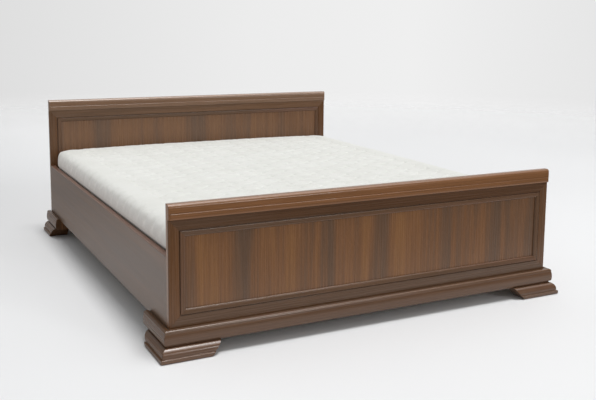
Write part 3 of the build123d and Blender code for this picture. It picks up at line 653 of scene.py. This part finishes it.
# %% [markdown]
# The cover's pattern. The columns of the grid keep the stitch pitch, so a stitch line always lies on an
# edge of the grid, and the last few columns reach the shoulder. Rings then go over the shoulder and down
# to the zip. A round corner comes from squeezing the last square of the grid into a quarter disc.

# %% Cover grid
# Shoulder and side, from the crown to the zip: how far out and how far down.
side_rings = (
    (0.0170, 0.0003), (0.0335, 0.0010), (0.0480, 0.0030), (0.0600, 0.0070), (0.0690, 0.0130),
    (0.0734, 0.0215), (0.0762, 0.0325), (0.0778, 0.0435), (0.0786, 0.0545), (0.0790, 0.0650),
    (0.0788, 0.0740), (0.0778, 0.0800), (0.0752, 0.0845),
)


def column_places():
    """X places of the grid's columns, from one shoulder to the other."""
    inner = np.linspace(-last_line, last_line, (line_count - 1) * columns_per_pitch + 1)
    outer = np.linspace(last_line, edge_x, side_columns + 1)[1:]
    return np.concatenate([-outer[::-1], inner, outer])


def squeeze_corners(x, y):
    """Move the points of the grid so that its corners become quarter discs."""
    u = np.clip((np.abs(x) - edge_x) / corner_square + 1, 0, 1)
    v = np.clip((np.abs(y) - edge_y) / corner_square + 1, 0, 1)
    round_x = edge_x - corner_square + corner_square * u * np.sqrt(1 - v * v / 2)
    round_y = edge_y - corner_square + corner_square * v * np.sqrt(1 - u * u / 2)
    corner = (u > 0) & (v > 0)
    return np.where(corner, np.sign(x) * round_x, x), np.where(corner, np.sign(y) * round_y, y)


def outward(x, y):
    """The level direction that points out of the plan at its edge, shorter where a board stands close."""
    away_x = np.sign(x) * np.clip(np.abs(x) - edge_x + corner_square, 0, None)
    away_y = np.sign(y) * np.clip(np.abs(y) - edge_y + corner_square, 0, None)
    length = np.hypot(away_x, away_y) + 1e-9
    corner = (length / (np.maximum(np.abs(away_x), np.abs(away_y)) + 1e-9)) ** corner_sharpness
    return away_x / length * corner, away_y / length * corner * end_share


def read_points(thing):
    flat = np.empty(3 * len(thing.data.vertices))
    thing.data.vertices.foreach_get("co", flat)
    return flat.reshape(-1, 3)


def write_points(thing, points):
    thing.data.vertices.foreach_set("co", points.ravel())
    thing.data.update()


def make_cover_grid(name):
    """The unblown top cover: its points in a table of pattern places, and the level of each ring."""
    columns = column_places()
    rows = round(2 * edge_y / wave_length * rows_per_wave)
    clear_selection()
    bpy.ops.mesh.primitive_grid_add(x_subdivisions=len(columns) - 1, y_subdivisions=rows, size=2)
    cover = bpy.context.object
    cover.name = name
    bpy.ops.object.mode_set(mode="EDIT")
    bpy.ops.mesh.select_mode(type="EDGE")
    bpy.ops.mesh.select_all(action="DESELECT")
    bpy.ops.mesh.select_non_manifold()
    for ring in side_rings:
        bpy.ops.mesh.extrude_region_move(TRANSFORM_OT_translate={"value": (0, 0, -1)})
    bpy.ops.object.mode_set(mode="OBJECT")
    points = read_points(cover)
    level = np.rint(-points[:, 2]).astype(int)
    order = np.rint((points[:, 0] + 1) / 2 * (len(columns) - 1)).astype(int)
    return cover, columns[order], points[:, 1] * edge_y, level


top_cover, pattern_x, pattern_y, level = make_cover_grid("mattress_quilted_top")
print("cover grid:", len(top_cover.data.vertices), "points,", level.max(), "rings")

# %% [markdown]
# The grid is now bent into shape. The crown falls a little from the middle to the long sides. The rings
# follow a soft profile that swells out until it nears the rails, and rounds in again at the zip. Room is
# left above the crown for the air that comes next.

# %% Cover shape
flat_x, flat_y = squeeze_corners(pattern_x, pattern_y)
out_x, out_y = outward(flat_x, flat_y)
rings = np.array([(0, 0), *side_rings])
out, down = rings[level, 0], rings[level, 1]
points = np.empty((len(level), 3))
points[:, 0] = flat_x + wave_at(pattern_x, pattern_y) + out * out_x
points[:, 1] = flat_y + out * out_y + middle_y
points[:, 2] = cover_high.z - puff_room - crown_drop * (points[:, 0] / plan_half_x) ** 2 - down
lowest = level == level.max()
points[lowest, 2] = seam_high
write_points(top_cover, points)
start_points = points.copy()

stitch_spacing = (pattern_x + last_line) / pitch
on_line = np.abs(stitch_spacing - np.rint(stitch_spacing)) < 1e-4
on_line &= np.abs(pattern_x) < last_line + MILLIMETRE
on_line &= level <= 3
held = on_line | (level >= level.max() - 1)
pins = top_cover.vertex_groups.new(name="stitches")
pins.add([int(i) for i in np.nonzero(held)[0]], 1.0, "REPLACE")
print("stitched points:", int(held.sum()))

# %% [markdown]
# Air goes in. Cloth with a pressure inside and no gravity swells between its pins, and finds its own
# small folds where it is drawn together. How far a point may travel is then capped, so that the cover
# stays between the rails and below the boards.

# %% Blow up the cover
puff_cap = 0.0026
sideways_share = 0.4


def blow_up(thing, pressure, frames):
    """Run the cloth and leave its last shape in the mesh."""
    pick(thing)
    cloth = thing.modifiers.new("air", "CLOTH")
    cloth.settings.quality = 5
    cloth.settings.mass = 0.3
    cloth.settings.tension_stiffness = 15
    cloth.settings.compression_stiffness = 15
    cloth.settings.shear_stiffness = 5
    cloth.settings.bending_stiffness = 0.4
    cloth.settings.vertex_group_mass = "stitches"
    cloth.settings.use_pressure = True
    cloth.settings.uniform_pressure_force = pressure
    cloth.settings.shrink_min = -0.02
    cloth.settings.effector_weights.gravity = 0
    cloth.collision_settings.use_collision = False
    cloth.point_cache.frame_start = 1
    cloth.point_cache.frame_end = frames
    for number in range(1, frames + 1):
        bpy.context.scene.frame_set(number)
    bpy.ops.object.modifier_apply(modifier=cloth.name)
    bpy.context.scene.frame_set(1)


blow_up(top_cover, 4.0, 20)
moved = read_points(top_cover) - start_points
travel = np.linalg.norm(moved, axis=1, keepdims=True)
print("cloth travelled", round(float(travel.mean()), 5), "on average")
print("and at most", round(float(travel.max()), 5))
moved *= np.minimum(1, puff_cap / np.maximum(travel, 1e-9))
moved[:, :2] *= sideways_share
write_points(top_cover, start_points + moved)

# %% [markdown]
# Quilting. Each stitch line is a narrow valley with a thread at its bottom. It could be drawn in the
# grid before the air goes in, but a valley is narrower than the cloth's own folds, so the mesh is
# subdivided once and the valleys are pressed in afterwards. Where the waves come near the edge they pull
# the shoulder in, which gives the row of small puckers that runs along the sides of a real mattress.

# %% Press the stitch lines
valley_depth = 0.0036
valley_width = 0.0085
return_share = 0.15
pucker_depth = 0.0060
end_pucker_depth = 0.0012
fold_depth = 0.0004
pucker_width = 0.016
ripple_height = 0.0007
short_fold = 0.0235
long_fold = 0.0377


def subdivide(thing):
    pick(thing)
    finer = thing.modifiers.new("finer", "SUBSURF")
    finer.levels = finer.render_levels = 1
    bpy.ops.object.modifier_apply(modifier=finer.name)


def line_distance(x, y):
    """Distance from (x, y) to the nearest stitch line, measured square to the line."""
    away = (x - wave_at(x, y)) / pitch
    nearest = np.clip(np.rint(away), -(line_count - 1) / 2, (line_count - 1) / 2)
    slope = 2 * math.pi / wave_length * wave_sway * np.cos(2 * math.pi * y / wave_length)
    return np.abs(away - nearest) * pitch / np.sqrt(1 + slope * slope)


def unevenness(x, y):
    """A slow, irregular rise and fall of about one either way."""
    slow = 0.5 * np.sin(9.1 * x + 4.7 * y)
    middling = 0.3 * np.sin(23.0 * y - 7.0 * x + 1.3)
    return slow + middling + 0.2 * np.sin(41.0 * x + 2.1)


def press_stitches(thing):
    """Valleys along the stitch lines on top, and puckers and small upright folds down the sides."""
    points = read_points(thing)
    x, y = points[:, 0], points[:, 1] - middle_y
    on_top = smooth((points[:, 2] - cover_high.z + 0.030) / 0.014)
    inside = smooth((edge_y + 0.018 - np.abs(y)) / 0.020)
    phase = 2 * math.pi * y / wave_length
    drawn = return_share + (1 - return_share) * smooth(0.5 - 0.8 * np.cos(phase))
    valley = np.exp(-(line_distance(x, y) / valley_width) ** 2)
    points[:, 2] -= drawn * valley_depth * valley * on_top * inside
    points[:, 2] += ripple_height * unevenness(x, y) * on_top
    normal_x, normal_y = outward(x, y)
    high = smooth((points[:, 2] - seam_high - 0.016) / 0.040)
    beyond = smooth((np.maximum(np.abs(x) - edge_x, np.abs(y) - edge_y) + 0.012) / 0.020)
    near_side = 0.5 + 0.5 * np.sin(phase) * -np.sign(x)
    side = np.abs(normal_x) * near_side ** 3 * (1 + 0.5 * unevenness(x, 3 * y)) * pucker_depth
    line_gap = np.abs(x / pitch - np.rint(x / pitch)) * pitch
    end = np.abs(normal_y) * np.exp(-(line_gap / pucker_width) ** 2) * end_pucker_depth
    folds = np.sin(2 * math.pi * y / short_fold + 1.7 * np.sin(5.3 * y))
    folds += 0.7 * np.sin(2 * math.pi * y / long_fold + 2.0)
    side += np.abs(normal_x) * folds * fold_depth * (0.6 + 0.4 * unevenness(x, 2 * y))
    pull = (side + end) * high * beyond
    points[:, 0] -= normal_x * pull
    points[:, 1] -= normal_y * pull
    write_points(thing, points)


# %% [markdown]
# The base cover is the same cover turned over: a copy of the blown-up mesh, mirrored in height, stretched
# to its own depth, pressed flat where it lies on the slats and kept clear of the rails. It has no pressed
# stitch lines. A mirrored mesh is inside out, so its normals are recalculated.

# %% Base cover
base_lift = 0.0004


def close_seam(thing):
    """Close the open ring with a face, and turn every face outwards."""
    pick(thing)
    bpy.ops.object.mode_set(mode="EDIT")
    bpy.ops.mesh.select_mode(type="EDGE")
    bpy.ops.mesh.select_all(action="DESELECT")
    bpy.ops.mesh.select_non_manifold()
    bpy.ops.mesh.edge_face_add()
    bpy.ops.mesh.select_all(action="SELECT")
    bpy.ops.mesh.normals_make_consistent(inside=False)
    bpy.ops.object.mode_set(mode="OBJECT")
    bpy.ops.object.shade_smooth()


def own_copy(thing, name):
    clear_selection()
    copy = thing.copy()
    copy.data = thing.data.copy()
    copy.name = name
    bpy.context.collection.objects.link(copy)
    return copy


base_cover = own_copy(top_cover, "mattress_quilted_base")
points = read_points(base_cover)
depth_share = (seam_low - base_low.z) / (cover_high.z - seam_high)
points[:, 2] = seam_low - (points[:, 2] - seam_high) * depth_share
points[:, 2] = np.maximum(points[:, 2], base_low.z + base_lift)
points[:, 0] = np.clip(points[:, 0], -base_reach, base_reach)
write_points(base_cover, points)

# %% [markdown]
# Piping. A cord in a sleeve of ticking runs round both edges of the zip. A cord like this is made from
# the seam itself: the edge ring is duplicated, turned into a curve, and given a round section.

# %% Piping and zip
piping_radius = 0.0025
piping_out = 0.0722
tape_out = 0.0690
piping_sway = 0.0009
piping_offset = 0.0012
tape_overlap = 0.0002
tape_thickness = 0.0008
coil_bulge = 0.0012
tape_steps = 4
ring_out = side_rings[-1][0]


def ring_copy(thing, name):
    """The open seam ring of a cover, as an object of its own."""
    pick(thing)
    bpy.ops.object.mode_set(mode="EDIT")
    bpy.ops.mesh.select_mode(type="EDGE")
    bpy.ops.mesh.select_all(action="DESELECT")
    bpy.ops.mesh.select_non_manifold()
    bpy.ops.mesh.duplicate()
    bpy.ops.mesh.separate(type="SELECTED")
    bpy.ops.object.mode_set(mode="OBJECT")
    ring = next(o for o in bpy.context.selected_objects if o != thing)
    ring.name = name
    ring.vertex_groups.clear()
    return ring


def move_ring(ring, out, height, sway):
    """Put a ring at a distance outside the plan and at a height, with a little unevenness."""
    points = read_points(ring)
    x, y = points[:, 0], points[:, 1] - middle_y
    normal_x, normal_y = outward(x, y)
    reach = out - ring_out - sway * (0.5 + 0.5 * unevenness(3 * y, 3 * x))
    points[:, 0] += normal_x * reach
    points[:, 1] += normal_y * reach
    points[:, 2] = height + 1.6 * sway * unevenness(2 * x, 6 * y)
    write_points(ring, points)


def make_piping(cover, name, height):
    """A round cord that follows the seam of a cover."""
    ring = ring_copy(cover, name)
    move_ring(ring, piping_out, height, piping_sway)
    pick(ring)
    bpy.ops.object.convert(target="CURVE")
    cord = bpy.context.object
    cord.data.bevel_depth = piping_radius
    cord.data.bevel_resolution = 2
    bpy.ops.object.convert(target="MESH")
    bpy.ops.object.shade_smooth()
    return bpy.context.object


def make_zip_tape(cover, name, low, high):
    """Woven band between the two pipings, with a raised coil along its middle."""
    tape = ring_copy(cover, name)
    move_ring(tape, tape_out, low, 0)
    pick(tape)
    bpy.ops.object.mode_set(mode="EDIT")
    bpy.ops.mesh.select_all(action="SELECT")
    for number in range(tape_steps):
        step = (0, 0, (high - low) / tape_steps)
        bpy.ops.mesh.extrude_region_move(TRANSFORM_OT_translate={"value": step})
    bpy.ops.object.mode_set(mode="OBJECT")
    points = read_points(tape)
    normal_x, normal_y = outward(points[:, 0], points[:, 1] - middle_y)
    bulge = coil_bulge * np.sin(math.pi * (points[:, 2] - low) / (high - low))
    points[:, 0] += normal_x * bulge
    points[:, 1] += normal_y * bulge
    write_points(tape, points)
    wall = tape.modifiers.new("wall", "SOLIDIFY")
    wall.thickness = tape_thickness
    bpy.ops.object.modifier_apply(modifier=wall.name)
    bpy.ops.object.shade_smooth()
    return tape


top_piping = make_piping(top_cover, "mattress_top_piping", seam_high + piping_offset)
base_piping = make_piping(base_cover, "mattress_base_piping", seam_low - piping_offset)
tape_ends = seam_low + tape_overlap, seam_high - tape_overlap
zip_tape = make_zip_tape(top_cover, "mattress_zip_tape", *tape_ends)

subdivide(top_cover)
press_stitches(top_cover)
close_seam(top_cover)
close_seam(base_cover)
for piece in (top_cover, base_cover, top_piping, base_piping, zip_tape):
    print(piece.name, len(piece.data.polygons), "faces")

# %% [markdown]
# Ticking. The cover is a dense white knit: rows of tiny loops, a soft fuzz, and a thread that dips in and
# out along each stitch line. The loops are a product of sines, small enough to melt into a matt sheen
# from a step away. The sides look warmer than the top in the photo, as from light off the rails. The
# lamps here didn't give that by themselves, so the sides get a warmer, slightly darker tone: painted light.

# %% Ticking
loop_pitch = 1.9 * MILLIMETRE
stitch_length = 5.0 * MILLIMETRE
side_warm_to = 0.456
side_warm_from = 0.395
side_tone = (0.655, 0.622, 0.584)
thread_tone = (0.62, 0.62, 0.58)
# Thread shows above this height only, from none to full.
thread_low = 0.43
thread_high = 0.44


def ticking(name, quilted):
    """Knitted cover cloth, with stitch thread on it where it is quilted."""
    finish = Finish(name)
    point = finish.place()
    axes = finish.node("ShaderNodeSeparateXYZ", sockets={"Vector": point}, output="X").socket.node
    x, y, z = (Signal(finish, axes.outputs[axis]) for axis in "XYZ")
    loop = 2 * math.pi / loop_pitch
    knit = (x * loop + (y * (0.5 * loop)).sine()).sine() * ((y + z) * loop).sine()
    fuzz = finish.noise(point, 260.0, detail=3.0)
    cloud = finish.noise(point, 6.0, detail=2.0)
    tone = finish.blend(cloud.remap(0.3, 0.7), (0.673, 0.678, 0.644), (0.702, 0.707, 0.678))
    tone = finish.blend(fuzz.remap(0.35, 0.70, 0.0, 0.35), tone, (0.650, 0.650, 0.615))
    # Painted light: the sides take a warmer tone, standing in for light off the rails.
    tone = finish.blend(z.remap(side_warm_from, side_warm_to, 1.0, 0.0), tone, side_tone)
    height = knit * 0.5 + fuzz * 0.6
    if quilted:
        wave = ((y - middle_y) * (2 * math.pi / wave_length)).sine() * -wave_sway
        away = abs(((x - wave) / pitch + 0.5 + line_count).fraction() - 0.5) * pitch
        dash = (y / stitch_length).fraction().remap(0.50, 0.62, 1.0, 0.0)
        inside = abs(x).remap(last_line + 0.02, last_line + 0.03, 1.0, 0.0)
        inside = inside * abs(y - middle_y).remap(edge_y - 0.060, edge_y - 0.050, 1.0, 0.0)
        thread = away.remap(0.0007, 0.0015, 1.0, 0.0) * inside * z.remap(thread_low, thread_high)
        tone = finish.blend(thread * 0.35, tone, thread_tone)
        height = height + thread * (dash * 3.0 - 2.0)
    return finish.surface(
        Base_Color=tone, Roughness=fuzz.remap(0.3, 0.7, 0.82, 0.94), Specular_IOR_Level=0.25,
        Sheen_Weight=0.15, Sheen_Roughness=0.5, Normal=finish.bump(height, 0.00028, 0.55),
    )


def zip_finish(name):
    """Zip tape: fine ribs across the band."""
    finish = Finish(name)
    point = finish.place()
    axes = finish.node("ShaderNodeSeparateXYZ", sockets={"Vector": point}, output="X").socket.node
    x, y, z = (Signal(finish, axes.outputs[axis]) for axis in "XYZ")
    ribs = ((x + y) * (2 * math.pi / (1.8 * MILLIMETRE))).sine()
    tone = finish.blend(ribs.remap(-1, 1), (0.55, 0.54, 0.50), (0.72, 0.71, 0.67))
    return finish.surface(Base_Color=tone, Roughness=0.7, Normal=finish.bump(ribs, 0.0005, 0.8))


quilted_ticking = ticking("quilted_ticking", True)
plain_ticking = ticking("plain_ticking", False)
zip_weave = zip_finish("zip_weave")
for piece, material, slot_name, nodes in (
    (top_cover, quilted_ticking, "mattress_ticking", ("mattress_top_cover", "mattress_core")),
    (base_cover, plain_ticking, "mattress_ticking", ("mattress_base_cover",)),
    (top_piping, plain_ticking, "mattress_piping", ()),
    (base_piping, plain_ticking, "mattress_piping", ()),
    (zip_tape, zip_weave, "mattress_piping", ("mattress_zip",)),
):
    piece.data.materials.clear()
    piece.data.materials.append(material)
    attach(piece, "mattress")
    if nodes:
        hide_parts(*nodes)
